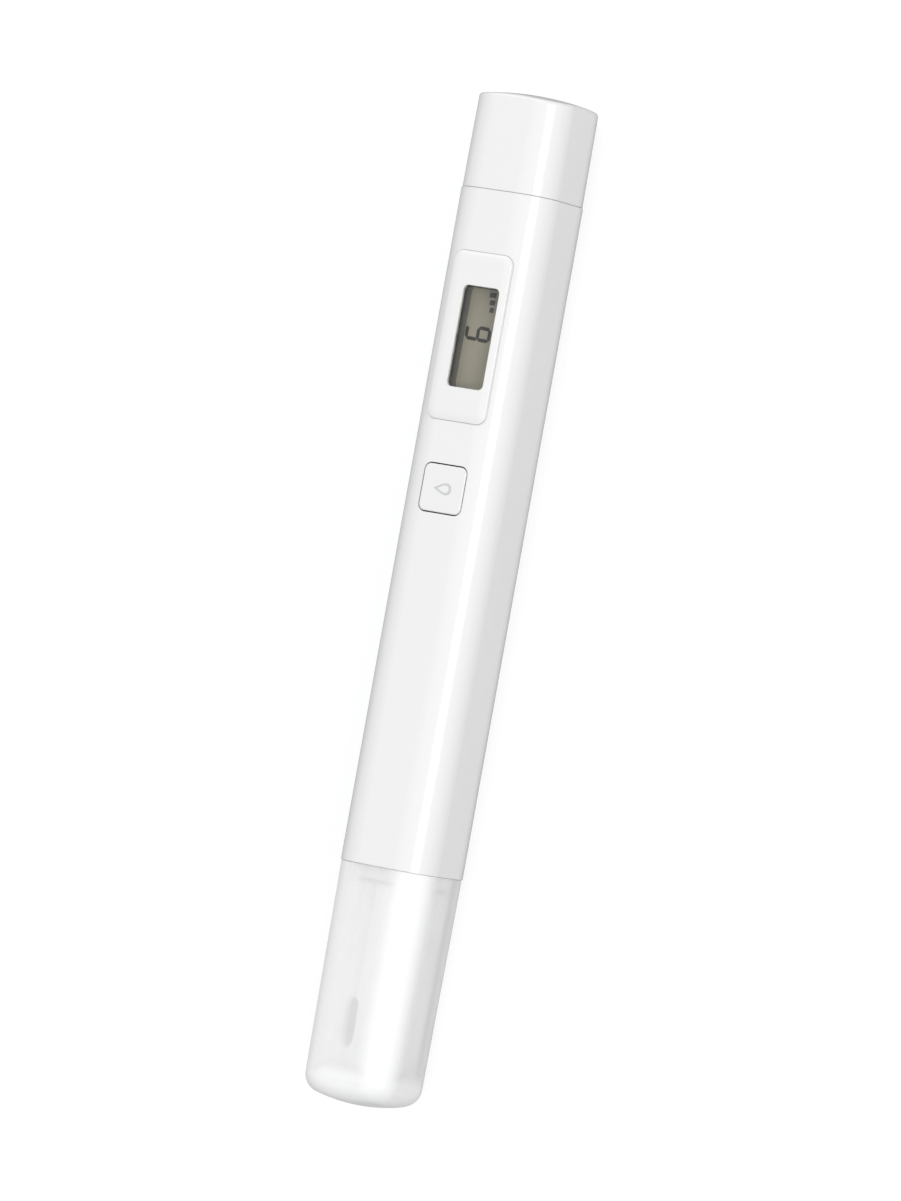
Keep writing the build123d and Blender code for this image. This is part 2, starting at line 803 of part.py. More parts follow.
def probe_housing():
    """The moulding that carries the pins: a plug in the body, a neck for the cap and a slotted shroud."""
    plug = bar(probe_seam, plug_inner_end, plug_side, plug_corner)
    groove = seal_groove(housing_ring_low(), plug_side, plug_corner)
    neck_side = probe_cap_inner_side() - 2 * cap_clearance
    neck_corner = cap_mouth_corner - probe_cap_wall - cap_clearance
    neck_end = probe_seam - neck_length
    neck = bar(neck_end, probe_seam, neck_side, neck_corner)
    shroud_side = neck_side - 2 * shroud_step
    shroud = tapered_bar(probe_seam, shroud_end, shroud_side, neck_corner - shroud_step, shroud_draft)
    housing = (plug - groove) + neck + shroud
    cavity_floor = shroud_end + shroud_cavity
    well_side = shroud_side - 2 * (shroud_draft + shroud_wall)
    cavity = bar(shroud_end - 1, cavity_floor, well_side, shroud_cavity_corner)
    housing -= cavity
    slot_x = shroud_end + slot_from_end + slot_length / 2
    housing -= pad(slot_x, slot_shift, slot_length, slot_width, slot_width / 2 - 0.01, -1, 2 * body_side)
    groove_floor = axis_z + shroud_side / 2 - shroud_draft - drain_groove
    groove_sides = (drain_groove_shift - drain_groove_width / 2, drain_groove_shift + drain_groove_width / 2)
    housing -= block((slot_x, neck_end), groove_sides, (groove_floor, body_side))
    for bump in snap_bumps(neck_end, neck_side, (0, 90, 180, 270)):
        housing += bump
    housing -= bar(pocket_floor(), plug_inner_end + 1, potting_side(), potting_corner)
    for y in (-pin_spacing / 2, pin_spacing / 2):
        housing -= rod(cavity_floor - 1, plug_inner_end + 1, pin_radius + pin_clearance, y)
        housing -= rod(pocket_floor() - gland_length, plug_inner_end + 1, gland_radius, y)
    return housing - rod(cavity_floor - 1, plug_inner_end + 1, sensor_radius + pin_clearance, z=sensor_z())


def pocket_floor():
    """Bottom of the pocket behind the pins, which is filled with resin."""
    return shroud_end + shroud_cavity + potting_floor


def potting_side():
    return plug_side - 2 * (ring_depth + potting_wall)


def probe_potting():
    """The cast resin that fixes the pins and the sensor in the housing."""
    resin = bar(pocket_floor(), plug_inner_end - potting_short, potting_side(), potting_corner)
    for side in (-1, 1):
        resin -= rod(pocket_floor() - 1, plug_inner_end, pin_radius, side * pin_spacing / 2)
    return resin - rod(pocket_floor() - 1, plug_inner_end, sensor_radius, z=sensor_z())


def sensor_z():
    """The temperature sensor's tube lies behind the two pins."""
    return axis_z - 2.0


def seal_groove(low, side, corner):
    """What is cut from a rounded square bar for a soft ring."""
    high = low + ring_width
    around = bar(low, high, side + 2, corner + 1)
    return around - bar(low - 1, high + 1, side - 2 * ring_depth, corner - ring_depth)


def seal_ring(low, side, corner, gap):
    """A soft ring in its groove. It reaches across the gap to the wall around it."""
    start, end = low + ring_clearance, low + ring_width - ring_clearance
    reach = gap - ring_clearance
    ring = bar(start, end, side + 2 * reach, corner + reach)
    for face in (ring.faces().sort_by(Axis.X)[0], ring.faces().sort_by(Axis.X)[-1]):
        ring = fillet(face.edges(), ring_width / 4)
    inset = ring_depth - ring_clearance
    return ring - bar(start - 1, end + 1, side - 2 * inset, corner - inset)


def housing_ring_low():
    return probe_seam + plug_length / 2 - ring_width / 2


def housing_seal():
    return seal_ring(housing_ring_low(), plug_side, plug_corner, plug_clearance)


def electrode_pin(side):
    pin = rod(shroud_end + pin_inset, plug_inner_end + pin_tail, pin_radius, side * pin_spacing / 2)
    return fillet(pin.faces().sort_by(Axis.X)[0].edges(), pin_radius * 0.6)


def pin_gland(side):
    y = side * pin_spacing / 2
    gland = rod(pocket_floor() - gland_length, pocket_floor(), gland_radius - ring_clearance, y)
    return gland - rod(pocket_floor() - gland_length - 1, pocket_floor() + 1, pin_radius + ring_clearance, y)


def temperature_sensor():
    low = shroud_end + pin_inset + sensor_inset
    tube = rod(low, plug_inner_end + sensor_tail, sensor_radius, z=sensor_z())
    return fillet(tube.faces().sort_by(Axis.X)[0].edges(), sensor_radius * 0.8)


# Leads


def lead_route(start, end, bow):
    """The corners of one lead's path: straight at both ends, with a shallow sag between them."""
    first, last = Vector(start), Vector(end)
    middle = (first + last) / 2 + Vector(0, bow, -lead_sag)
    leave = first + Vector(lead_straight, 0, 0)
    arrive = last - Vector(lead_straight, 0, 0)
    return [first, leave, middle, arrive, last]


def bend_radii(points):
    """Each arc's radius: 0.45 of the shorter run, divided by the tangent of half the turn."""
    radii = []
    for a, b, c in zip(points, points[1:], points[2:]):
        first, second = b - a, c - b
        half_turn = radians(first.get_angle(second)) / 2
        radii.append(0.45 * min(first.length, second.length) / tan(half_turn))
    return radii


def lead(start, end, bow):
    points = lead_route(start, end, bow)
    radii = bend_radii(points)
    print("lead bend radii", [round(radius, 1) for radius in radii])
    path = FilletPolyline(*points, radius=radii)
    start_plane = Plane(path @ 0, z_dir=path % 0)
    return sweep(start_plane * Circle(lead_radius), path=path)


def pin_lead(side):
    start = (plug_inner_end + pin_tail, side * pin_spacing / 2, axis_z)
    end = (board_low + 1.0, side * 4.0, board_z - board_thickness - lead_radius)
    return lead(start, end, side * 0.8)


def sensor_lead(side):
    start = (plug_inner_end + sensor_tail, side * 0.5, sensor_z())
    end = (board_low + 1.0, side * 2.6, board_z - board_thickness - lead_radius)
    return lead(start, end, side * 0.5)


def lcd_backing_pad():
    """The foam between the panel's back and the board."""
    length = lcd_length - 4 * polariser_inset
    return pad(display_x, 0, length, rear_glass_width - 1.2, part_clearance, board_z, lcd_levels()[4])


def pieces():
    """Every piece by the name of its node."""
    made = {
        "body_shell": body_shell(),
        "battery_cap": battery_cap(),
        "probe_cap": probe_cap(),
        "display_bezel": display_bezel(),
        "display_window": display_window(),
        "lcd_frame": lcd_frame(),
        "lcd_front_polariser": lcd_front_polariser(),
        "lcd_front_glass": lcd_front_glass(),
        "lcd_rear_glass": lcd_rear_glass(),
        "lcd_reflector": lcd_reflector(),
        "lcd_backing_pad": lcd_backing_pad(),
        "zebra_strips": zebra_strips(),
        "button_key": button_key(),
        "button_gasket": button_gasket(),
        "switch_body": switch_body(),
        "switch_cover_plate": switch_cover_plate(),
        "switch_plunger": switch_plunger(),
        "switch_terminals": switch_terminals(),
        "circuit_board": circuit_board(),
        "controller_chip": controller_chip(),
        "clock_crystal": clock_crystal(),
        "chip_capacitors": chip_capacitors(),
        "chip_resistors": chip_resistors(),
        "board_screws": board_screws(),
        "inner_carrier": inner_carrier(),
        "battery_frame": battery_frame(),
        "frame_screws": frame_screws(),
        "positive_contact": positive_contact(),
        "negative_contact": negative_contact(),
        "probe_housing": probe_housing(),
        "probe_potting": probe_potting(),
        "housing_seal": housing_seal(),
        "temperature_sensor": temperature_sensor(),
    }
    for level, name in enumerate(("lower", "upper")):
        made[f"{name}_cell_can"] = cell_can(level)
        made[f"{name}_cell_seal"] = cell_seal(level)
        made[f"{name}_cell_lid"] = cell_lid(level)
        made[f"{name}_cell_core"] = cell_core(level)
    for side, name in ((-1, "right"), (1, "left")):
        made[f"{name}_electrode_pin"] = electrode_pin(side)
        made[f"{name}_pin_gland"] = pin_gland(side)
        made[f"{name}_pin_lead"] = pin_lead(side)
        made[f"{name}_sensor_lead"] = sensor_lead(side)
    return made


os.makedirs("parts", exist_ok=True)
for name, shape in pieces().items():
    solids = shape if isinstance(shape, list) else [shape]
    export_step(Compound(label=name, children=[solid for solid in solids]), f"parts/{name}.step")
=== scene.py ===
import math

import bpy
import numpy as np
from mathutils import Matrix, Vector


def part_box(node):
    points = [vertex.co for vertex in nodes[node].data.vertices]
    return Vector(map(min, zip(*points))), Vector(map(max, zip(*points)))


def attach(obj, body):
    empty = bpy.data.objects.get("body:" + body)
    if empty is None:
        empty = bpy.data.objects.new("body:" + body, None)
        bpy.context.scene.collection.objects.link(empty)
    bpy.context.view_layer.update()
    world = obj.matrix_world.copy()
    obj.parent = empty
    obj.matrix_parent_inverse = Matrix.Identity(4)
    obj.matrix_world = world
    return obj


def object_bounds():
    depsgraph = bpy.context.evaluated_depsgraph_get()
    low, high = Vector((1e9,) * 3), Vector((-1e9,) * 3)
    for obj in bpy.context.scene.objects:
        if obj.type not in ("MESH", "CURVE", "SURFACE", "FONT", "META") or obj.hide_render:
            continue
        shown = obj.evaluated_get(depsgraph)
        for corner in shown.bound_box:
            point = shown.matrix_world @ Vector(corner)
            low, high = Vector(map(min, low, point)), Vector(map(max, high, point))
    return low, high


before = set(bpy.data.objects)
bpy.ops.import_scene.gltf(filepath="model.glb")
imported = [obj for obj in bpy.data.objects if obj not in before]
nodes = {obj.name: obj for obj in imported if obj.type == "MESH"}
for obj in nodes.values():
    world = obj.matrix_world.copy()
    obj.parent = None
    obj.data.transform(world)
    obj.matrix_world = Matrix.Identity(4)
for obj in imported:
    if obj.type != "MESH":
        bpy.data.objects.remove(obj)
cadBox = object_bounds()
millimetre = 0.001
print("frame:", len(nodes), "CAD nodes")


# Places that come from the frame

def middleOf(node):
    low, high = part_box(node)
    return (low + high) / 2


axisHeight = middleOf("body_shell").z
seamProbe, seamBattery = (corner.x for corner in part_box("body_shell"))


# Shader maths as plain expressions

class Value:  # one socket; arithmetic on it adds Math nodes
    def __init__(self, finish, socket):
        self.finish = finish
        self.socket = socket

    def join(self, operation, *terms):
        return self.finish.add("ShaderNodeMath", {"operation": operation}, dict(enumerate(terms)))

    def __add__(self, other):
        return self.join("ADD", self, other)

    def __radd__(self, other):
        return self.join("ADD", other, self)

    def __sub__(self, other):
        return self.join("SUBTRACT", self, other)

    def __rsub__(self, other):
        return self.join("SUBTRACT", other, self)

    def __mul__(self, other):
        return self.join("MULTIPLY", self, other)

    def __rmul__(self, other):
        return self.join("MULTIPLY", other, self)

    def __pow__(self, other):
        return self.join("POWER", self, other)

    def __abs__(self):
        return self.join("ABSOLUTE", self)

    def sine(self):
        return self.join("SINE", self)

    def larger(self, other):
        return self.join("MAXIMUM", self, other)

    def smaller(self, other):
        return self.join("MINIMUM", self, other)


class Finish:  # one material: a Principled shader and what feeds it
    def __init__(self, name, **fixed):
        self.material = bpy.data.materials.new(name)
        self.material.use_nodes = True
        self.tree = self.material.node_tree
        self.tree.nodes.clear()
        output = self.tree.nodes.new("ShaderNodeOutputMaterial")
        self.shader = self.tree.nodes.new("ShaderNodeBsdfPrincipled")
        self.tree.links.new(self.shader.outputs[0], output.inputs["Surface"])
        self.spot = self.add("ShaderNodeTexCoord", output="Object")
        self.x, self.y, self.z = (
            self.add("ShaderNodeSeparateXYZ", inputs={0: self.spot}, output=k) for k in range(3)
        )
        self.set(**fixed)

    def add(self, kind, settings=None, inputs=None, output=0):
        node = self.tree.nodes.new(kind)
        for key, value in (settings or {}).items():
            setattr(node, key, value)
        for key, value in (inputs or {}).items():
            self.plug(node.inputs[key], value)
        return Value(self, node.outputs[output])

    def plug(self, socket, value):
        if isinstance(value, Value):
            self.tree.links.new(value.socket, socket)
        elif socket.type == "RGBA":
            socket.default_value = (*value[:3], 1)
        else:
            socket.default_value = value

    def set(self, **sockets):  # baseColor feeds "Base Color", coatWeight feeds "Coat Weight" and so on
        for key, value in sockets.items():
            words = "".join(" " + letter if letter.isupper() else letter for letter in key)
            title = words.title().replace("Ior", "IOR")
            self.plug(self.shader.inputs[title], value)

    def stretched(self, x, y, z):  # the place, scaled by its own amount on each axis
        inputs = {"Vector": self.spot, "Scale": (x, y, z)}
        return self.add("ShaderNodeMapping", {"vector_type": "POINT"}, inputs)

    def noise(self, size, detail=3.0, rough=0.5, spot=None, warp=0.0):
        # size is the features' width in millimetres, or in the units of spot if a spot is given
        inputs = {
            "Vector": spot or self.spot, "Scale": 1 / (size * millimetre) if spot is None else 1 / size,
            "Detail": detail, "Roughness": rough, "Distortion": warp,
        }
        return self.add("ShaderNodeTexNoise", {"noise_dimensions": "3D"}, inputs, output="Fac")

    def cells(self, size):  # 0 in the middle of each cell, growing outwards; size is in millimetres
        inputs = {"Vector": self.spot, "Scale": 1 / (size * millimetre)}
        return self.add("ShaderNodeTexVoronoi", {"feature": "F1"}, inputs, output="Distance")

    def step(self, value, low, high, start=0.0, end=1.0):
        # a smooth step from start to end as value goes from low to high
        inputs = {"Value": value, "From Min": low, "From Max": high, "To Min": start, "To Max": end}
        return self.add("ShaderNodeMapRange", {"interpolation_type": "SMOOTHSTEP"}, inputs)

    def mix(self, share, first, second):  # colours
        inputs = {0: share, 6: first, 7: second}
        return self.add("ShaderNodeMix", {"data_type": "RGBA"}, inputs, output=2)

    def bump(self, height, depth, under=None):  # depth in millimetres for a height of 1
        inputs = {"Height": height, "Distance": depth * millimetre, "Strength": 1.0}
        if under is not None:
            inputs["Normal"] = under
        return self.add("ShaderNodeBump", inputs=inputs)

    def fromAxis(self):  # distance from the pen's axis, in metres
        up = self.z - axisHeight
        return (self.y * self.y + up * up) ** 0.5


def near(finish, value, place, width):
    # 1 at the place, falling smoothly to 0 at width to either side
    return finish.step(abs(value - place), 0.0, width, 1.0, 0.0)


def times(colour, share):
    return tuple(part * share for part in colour)


# Mouldings

whitePlastic = {
    "colour": (0.868, 0.868, 0.860), "shade": (0.830, 0.830, 0.818), "cloud": 34, "cloudShare": 0.55,
    "roughness": 0.145, "smearShare": 0.05, "hairShare": 0.06,
    "ripple": 9.0, "rippleDepth": 0.0035, "peel": 0.42, "peelDepth": 0.00035,
    "dirt": (0.60, 0.59, 0.57), "dirtWidth": 0.45 * millimetre, "dirtShare": 0.06,
    "speck": 0.55, "speckShare": 0.05,
}


def mouldedWhite(name, dirtPlaces=(), tint=1.0):
    # glossy moulding: faint clouds and specks, hairline scratches along the pen, a little dirt at dirtPlaces
    look = whitePlastic
    finish = Finish(name, ior=1.5, coatWeight=0.25, coatRoughness=0.06)
    cloud = finish.noise(look["cloud"], 2)
    speck = finish.step(finish.noise(look["speck"], 2), 0.70, 0.78)
    colour = finish.mix(cloud * look["cloudShare"], times(look["colour"], tint), times(look["shade"], tint))
    colour = finish.mix(speck * look["speckShare"], colour, look["dirt"])
    if dirtPlaces:
        dirt = sum(near(finish, finish.x, place, look["dirtWidth"]) for place in dirtPlaces)
        dirt = dirt * finish.step(finish.noise(1.4, 4), 0.35, 0.75)
        colour = finish.mix(dirt * look["dirtShare"], colour, look["dirt"])
    hair = finish.step(finish.noise(1.0, 2, spot=finish.stretched(55, 2600, 2600)), 0.62, 0.72)
    smear = finish.step(finish.noise(16, 3, warp=0.6), 0.42, 0.70)
    ripple = finish.bump(finish.noise(look["ripple"], 1), look["rippleDepth"])
    peel = finish.bump(finish.noise(look["peel"], 2), look["peelDepth"], ripple)
    roughness = look["roughness"] + smear * look["smearShare"] + hair * look["hairShare"]
    finish.set(baseColor=colour, roughness=roughness, normal=peel)
    return finish.material


frostedPlastic = {
    "colour": (0.935, 0.935, 0.93), "haze": (0.91, 0.912, 0.908), "thick": (0.985, 0.985, 0.98),
    "cover": 0.53, "thickCover": 0.88, "floorBefore": 2.0 * millimetre, "floorAfter": 0.8 * millimetre,
    "cornerFrom": 1.4 * millimetre, "cornerTo": 5.4 * millimetre,
    "roughness": 0.55, "rubShare": 0.06, "grain": 0.16, "grainDepth": 0.0012,
    "gateRadius": 0.9 * millimetre, "gateEdge": 0.75, "gateDepth": -0.06,
    "gateFrom": 0.4 * millimetre, "gateTo": 0.9 * millimetre,
}


def frosted(name):
    # milky plastic that covers only a part of what is behind each wall: more where there is more plastic,
    # which is past the probe and in the rounded corners
    look = frostedPlastic
    finish = Finish(name, ior=1.5, specularIorLevel=1.0, coatWeight=0.5, coatRoughness=0.5)
    flow = finish.noise(1.0, 3, spot=finish.stretched(60, 260, 260))
    colour = finish.mix(finish.step(flow, 0.35, 0.75), look["colour"], look["haze"])
    probeEnd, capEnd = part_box("probe_housing")[0].x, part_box("probe_cap")[0].x
    atFloor = finish.step(finish.x, probeEnd - look["floorBefore"], probeEnd + look["floorAfter"], 1.0, 0.0)
    inner = abs(finish.y).smaller(abs(finish.z - axisHeight))
    atCorner = finish.step(inner, look["cornerFrom"], look["cornerTo"])
    thick = atFloor.larger(atCorner)
    colour = finish.mix(thick, colour, look["thick"])
    gate = finish.step(finish.fromAxis(), look["gateRadius"] * look["gateEdge"], look["gateRadius"], 1.0, 0.0)
    atEnd = finish.step(finish.x, capEnd + look["gateFrom"], capEnd + look["gateTo"], 1.0, 0.0)
    grain = finish.bump(finish.noise(look["grain"], 2), look["grainDepth"])
    mark = finish.bump(gate * atEnd, look["gateDepth"], grain)
    rubbed = finish.step(finish.noise(2.4, 4), 0.5, 0.8)
    cover = look["cover"] + thick * (look["thickCover"] - look["cover"])
    roughness = look["roughness"] + rubbed * look["rubShare"]
    finish.set(baseColor=colour, alpha=cover, roughness=roughness, normal=mark)
    return finish.material


# markDark: how dark the painted shade from a moulding's marks turns its colour
moulding = {"cloud": 6, "flowShare": 0.18, "flowDark": 0.8, "markDark": 0.35, "rubbed": 1.7, "rubShare": 0.12}


def natural(name, colour, shade, roughness, grain, grainDepth, sheen=0.1, marks=None):
    # unpolished moulding: cloudy colour, flow marks along the pen and a fine grain, and painted shade where
    # marks is given
    look = moulding
    finish = Finish(name, ior=1.5, coatWeight=sheen, coatRoughness=0.3)
    cloud = finish.noise(look["cloud"], 4)
    flow = finish.step(finish.noise(1.0, 3, spot=finish.stretched(90, 700, 700)), 0.45, 0.8)
    base = finish.mix(cloud, colour, shade)
    base = finish.mix(flow * look["flowShare"], base, times(shade, look["flowDark"]))
    if marks:
        # painted shade and painted shadow, where marks is given
        base = finish.mix(marks(finish), base, times(shade, look["markDark"]))
    texture = finish.bump(finish.noise(grain, 3), grainDepth)
    rubbed = finish.noise(look["rubbed"], 3)
    finish.set(baseColor=base, roughness=roughness + rubbed * look["rubShare"], normal=texture)
    return finish.material


# where and how strong the housing's painted shade and painted shadow are
housingLook = {
    "groove": 0.65 * millimetre, "grooveHalf": 0.7 * millimetre, "grooveShade": 0.20,
    "grooveLow": 5.5 * millimetre, "grooveHigh": 6.0 * millimetre,
    "grooveEnd": 3.4 * millimetre, "grooveFade": 0.8 * millimetre,
    "lip": 2.2 * millimetre, "lipHalf": 0.5 * millimetre, "lipShade": 0.9,
    "lipReach": 3.3 * millimetre, "lipFade": 0.5 * millimetre,
}


def housingPaintedShade(finish):
    # how dark the painted shade is: in the groove along the top of the shroud, and as a painted shadow beside
    # the lips that the cap rubs on
    look = housingLook
    up, side = abs(finish.z - axisHeight), abs(finish.y)
    # painted shade in the groove
    groove = near(finish, finish.y, look["groove"], look["grooveHalf"])
    groove = groove * finish.step(finish.z, axisHeight + look["grooveLow"], axisHeight + look["grooveHigh"])
    grooveEnd = seamProbe - look["grooveEnd"]
    groove = groove * finish.step(finish.x, grooveEnd, grooveEnd + look["grooveFade"], 1.0, 0.0)
    # painted shadow beside the lip, where the cap sits
    lip = near(finish, finish.x, seamProbe - look["lip"], look["lipHalf"])
    reach = finish.step(up.smaller(side), look["lipReach"], look["lipReach"] - look["lipFade"])
    return groove * look["grooveShade"] + lip * reach * look["lipShade"]


# Metals

metalLook = {
    "patch": 3.0, "patchRough": 0.08, "stainShare": 0.5,
    "lineShare": 0.25, "lineDark": 0.7, "lineRough": 0.14,
}


def plated(name, colour, stain, roughness, lines, lineDepth=0.0006):
    # rolled or drawn metal: fine lines, tarnish in patches; lines is the pattern's scale on x, y and z
    look = metalLook
    finish = Finish(name, metallic=1.0)
    streak = finish.noise(1.0, 3, 0.6, spot=finish.stretched(*lines))
    patch = finish.step(finish.noise(look["patch"], 4, warp=0.8), 0.48, 0.72)
    base = finish.mix(patch * look["stainShare"], colour, stain)
    base = finish.mix(streak * look["lineShare"], base, times(colour, look["lineDark"]))
    rough = roughness + streak * look["lineRough"] + patch * look["patchRough"]
    finish.set(baseColor=base, roughness=rough, normal=finish.bump(streak, lineDepth))
    return finish.material


cellLook = {
    "nickel": (0.72, 0.71, 0.68), "stain": (0.60, 0.56, 0.49), "stainShare": 0.45,
    "rim": (0.52, 0.51, 0.49), "rimShare": 0.25, "rimFrom": 5.1 * millimetre, "rimTo": 5.75 * millimetre,
    "ringScale": 42000.0, "ringWander": 3.0, "ringDepth": 0.0006,
    "roughness": 0.20, "ringRough": 0.07, "stainRough": 0.12,
}


def cellMetal(name):
    # a turned button cell: rings on its flat ends, fine lines round its side and a stained rim
    look = cellLook
    finish = Finish(name, metallic=1.0)
    radius = finish.fromAxis()
    wander = finish.noise(0.09, 2)
    turned = (radius * look["ringScale"] + wander * look["ringWander"]).sine() * 0.5 + 0.5
    rim = finish.step(radius, look["rimFrom"], look["rimTo"])
    patch = finish.step(finish.noise(2.2, 4, warp=1.0), 0.5, 0.75)
    base = finish.mix(patch * look["stainShare"], look["nickel"], look["stain"])
    base = finish.mix(rim * look["rimShare"], base, look["rim"])
    roughness = look["roughness"] + turned * look["ringRough"] + patch * look["stainRough"]
    finish.set(baseColor=base, roughness=roughness, normal=finish.bump(turned, look["ringDepth"]))
    return finish.material


# Rubber, foam and glass

def rubber(name, colour, roughness=0.55, grain=0.12):
    # one colour under a thin uneven dust
    finish = Finish(name, ior=1.45)
    dust = finish.step(finish.noise(0.8, 5), 0.5, 0.85)
    base = finish.mix(dust * 0.3, colour, tuple(min(1.0, part * 1.5 + 0.06) for part in colour))
    texture = finish.bump(finish.noise(grain, 2), 0.003)
    finish.set(baseColor=base, roughness=roughness + dust * 0.2, normal=texture)
    return finish.material


def foam(name):
    finish = Finish(name)
    pore = finish.step(finish.cells(0.28), 0.15, 0.55)
    base = finish.mix(pore, (0.02, 0.02, 0.022), (0.085, 0.085, 0.09))
    finish.set(baseColor=base, roughness=0.85 + finish.noise(0.5) * 0.1, normal=finish.bump(pore, 0.05))
    return finish.material


def stripedRubber(name, pitch):
    # conducting and plain layers in turn along the strip
    finish = Finish(name)
    wave = (finish.x * (2 * math.pi / pitch)).sine()
    dark = finish.step(wave, -0.2, 0.2)
    base = finish.mix(dark, (0.32, 0.32, 0.33), (0.03, 0.03, 0.03))
    finish.set(baseColor=base, roughness=0.5 + finish.noise(0.4) * 0.15, normal=finish.bump(dark, 0.004))
    return finish.material


paneLook = {"smear": 4.5, "smearShare": 0.12, "smearShade": 0.96, "smearRough": 0.03, "hairRough": 0.03}


def clearPane(name, colour, roughness, ior):
    # a pane with faint smears and scratches; lamps shine through it, because its object casts no shadow
    look = paneLook
    finish = Finish(name, ior=ior, transmissionWeight=1.0)
    smear = finish.step(finish.noise(look["smear"], 4, warp=1.2), 0.52, 0.80)
    hair = finish.step(finish.noise(1.0, 2, spot=finish.stretched(120, 3000, 3000)), 0.66, 0.72)
    base = finish.mix(smear * look["smearShare"], colour, times(colour, look["smearShade"]))
    rough = roughness + smear * look["smearRough"] + hair * look["hairRough"]
    finish.set(baseColor=base, roughness=rough, normal=finish.bump(finish.noise(7, 1), 0.0006))
    return finish.material


# The display

displayPlace = {
    "middle": middleOf("display_window"), "surface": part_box("lcd_front_polariser")[1].z,
    "underWindow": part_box("display_window")[0].z,
}
filmLook = {
    "colour": (0.385, 0.350, 0.268), "shade": (0.345, 0.312, 0.236),
    "weave": (0.20, 0.19, 0.15), "weaveScale": 31000.0, "weaveShare": 0.06,
    "roughness": 0.38, "cloudRough": 0.1,
}


def displayFilm(name):
    # grey-green film with a faint weave of electrodes and an uneven bond under it
    look = filmLook
    finish = Finish(name, ior=1.5)
    cloud = finish.noise(5, 3)
    weave = (finish.x * look["weaveScale"]).sine() * (finish.y * look["weaveScale"]).sine() * 0.5 + 0.5
    base = finish.mix(cloud, look["colour"], look["shade"])
    base = finish.mix(weave * look["weaveShare"], base, look["weave"])
    roughness = look["roughness"] + cloud * look["cloudRough"]
    finish.set(baseColor=base, roughness=roughness, normal=finish.bump(finish.noise(0.2, 2), 0.0008))
    return finish.material


# colours of the frame: its own dark, and the olive of its painted shade down at the film
maskLook = {
    "dark": (0.026, 0.026, 0.023), "olive": (0.115, 0.113, 0.092), "paintedShadeShare": 0.75, "grainShare": 0.5,
    "roughness": 0.5, "grainRough": 0.12,
}


def paintedShadeFrame(name):
    # the panel's frame, dark by its own colour and by painted shade: nearly black by the window, lightening
    # to olive down at the film, which paints the shade band over the film's edge
    look = maskLook
    finish = Finish(name, ior=1.5)
    # painted shade: nearly black high on the wall, olive where the wall meets the film
    depth = finish.step(finish.z, displayPlace["surface"], displayPlace["underWindow"], 1.0, 0.0)
    grain = finish.noise(0.3, 4)
    base = finish.mix(depth * (look["paintedShadeShare"] + grain * look["grainShare"]), look["dark"], look["olive"])
    texture = finish.bump(finish.noise(0.18, 3), 0.003)
    finish.set(baseColor=base, roughness=look["roughness"] + grain * look["grainRough"], normal=texture)
    return finish.material


def printed(name, colour, roughness):
    # a thin layer of ink, a little paler in patches
    finish = Finish(name, ior=1.5)
    cloud = finish.noise(0.6, 3)
    base = finish.mix(cloud, colour, tuple(part * 1.25 + 0.01 for part in colour))
    texture = finish.bump(finish.noise(0.12, 2), 0.0004)
    finish.set(baseColor=base, roughness=roughness + cloud * 0.1, normal=texture)
    return finish.material


# Boards and chips

boardLook = {
    "bricks": {"Scale": 90.0, "Mortar Size": 0.022, "Brick Width": 0.42, "Row Height": 0.11},
    "offset": 0.37, "mask": (0.012, 0.085, 0.035), "trace": (0.03, 0.16, 0.06), "thread": (0.05, 0.13, 0.05),
    "threadShare": 0.2, "roughness": 0.32, "threadRough": 0.12, "depth": 0.012,
}


def solderMask(name):
    # green mask over copper and woven glass: the traces are the gaps between rows of bricks
    look = boardLook
    finish = Finish(name, coatWeight=0.4, coatRoughness=0.18)
    black, white = (0, 0, 0), (1, 1, 1)
    inputs = {"Vector": finish.spot, **look["bricks"], "Color1": black, "Color2": black, "Mortar": white}
    settings = {"offset": look["offset"], "squash": 1.0}
    traces = finish.add("ShaderNodeTexBrick", settings, inputs, output="Fac")
    thread = finish.noise(1.0, 2, spot=finish.stretched(2400, 2400, 200))
    base = finish.mix(traces, look["mask"], look["trace"])
    base = finish.mix(thread * look["threadShare"], base, look["thread"])
    texture = finish.bump(traces * 0.7 + thread * 0.3, look["depth"])
    finish.set(baseColor=base, roughness=look["roughness"] + thread * look["threadRough"], normal=texture)
    return finish.material


chipLook = {
    "tin": (0.66, 0.66, 0.64), "shade": 0.75, "edge": 0.03,
    "roughness": 0.48, "tinGloss": 0.18, "grainRough": 0.1,
}


def tippedChip(name, node, body, length, tip):
    # small parts in a row across the board, with tinned ends on x; length and tip are in millimetres
    look = chipLook
    finish = Finish(name, ior=1.5)
    inner = length / 2 - tip
    fromMiddle = abs(finish.x - middleOf(node).x)
    ends = finish.step(fromMiddle, inner * millimetre, (inner + look["edge"]) * millimetre)
    grain = finish.noise(0.15, 3)
    base = finish.mix(grain, body, times(body, look["shade"]))
    base = finish.mix(ends, base, look["tin"])
    roughness = look["roughness"] - ends * look["tinGloss"] + grain * look["grainRough"]
    finish.set(baseColor=base, metallic=ends, roughness=roughness, normal=finish.bump(grain, 0.004))
    return finish.material


def powder(name):
    finish = Finish(name)
    grit = finish.cells(0.11)
    base = finish.mix(grit, (0.05, 0.05, 0.052), (0.16, 0.16, 0.165))
    finish.set(baseColor=base, roughness=0.75 + grit * 0.15, normal=finish.bump(grit, 0.02))
    return finish.material


leadColours = {
    "left_pin_lead": (0.42, 0.02, 0.015), "right_pin_lead": (0.70, 0.70, 0.67),
    "left_sensor_lead": (0.02, 0.02, 0.02), "right_sensor_lead": (0.62, 0.40, 0.03),
}


